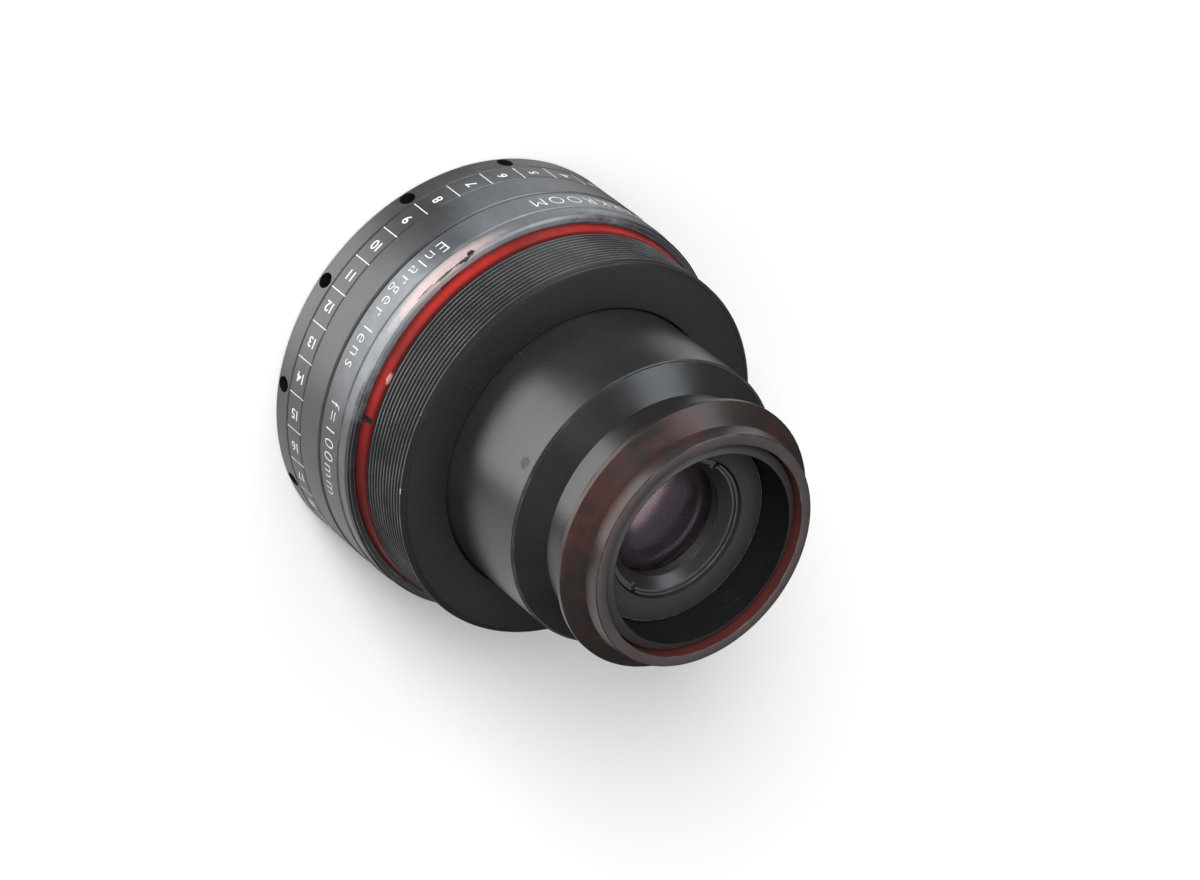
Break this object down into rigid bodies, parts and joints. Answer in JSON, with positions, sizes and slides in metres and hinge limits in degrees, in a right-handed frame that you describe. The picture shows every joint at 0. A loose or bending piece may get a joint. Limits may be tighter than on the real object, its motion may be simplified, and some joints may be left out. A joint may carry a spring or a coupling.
{
  "type": "enlarger lens",
  "caption": "Large fixed-aperture lens in a focusing mount: engraved turning scale ring, threaded mounting barrel with red index ring, narrower neck and flared small end.",
  "frame": {"origin": "centre of the large end's rim plane, on the optical axis", "axes": "+Z along the optical axis towards the small end; +Y towards the guide key"},
  "size_m": [0.086, 0.086, 0.0837],
  "materials": {
    "satin_black": "satin black anodised, worn",
    "black_anodised": "black anodised",
    "matte_black": "matte black",
    "faded_brown": "black anodising faded to brown",
    "index_red": "satin red enamel",
    "bare_metal": "turned, greased",
    "screw_steel": "turned steel",
    "coated_glass": "purple coated optical glass"
  },
  "bodies": {
    "mount": {"mount_barrel": "black_anodised", "name_ring": "satin_black", "shoulder_ring": "satin_black", "red_index_ring": "index_red", "ring_keeper": "bare_metal", "guide_key": "bare_metal", "key_screw_1": "screw_steel", "key_screw_2": "screw_steel", "stop_pin": "screw_steel"},
    "focus_ring": {"spanner_ring": "satin_black", "scale_ring": "satin_black", "helicoid_sleeve": "bare_metal", "stop_lug": "screw_steel"},
    "optical_unit": {"lens_barrel": "satin_black", "front_bezel": "matte_black", "front_retaining_ring": "matte_black", "front_element": "coated_glass", "front_doublet_cell": "matte_black", "front_doublet": "coated_glass", "front_doublet_ring": "matte_black", "stop_ring": "matte_black", "aperture_stop": "matte_black", "rear_doublet": "coated_glass", "rear_doublet_ring": "matte_black", "rear_collar": "black_anodised", "rear_flange_ring": "faded_brown", "rear_cell": "matte_black", "inner_element": "coated_glass", "inner_element_ring": "matte_black", "rear_element": "coated_glass", "rear_retaining_ring": "black_anodised"}
  },
  "joints": [
    {"name": "focus_turn", "type": "hinge", "parent": "mount", "child": "focus_ring", "pos_m": [0, 0, 0.0105], "axis": [0, 0, 1], "range_deg": [-171, 171]},
    {"name": "focus_slide", "type": "slide", "parent": "mount", "child": "optical_unit", "axis": [0, 0, 1], "range_m": [-0.0017, 0.0017]}
  ],
  "couplings": [
    {"joint": "focus_turn", "follows": "focus_slide", "rad_per_m": 1745.3}
  ]
}
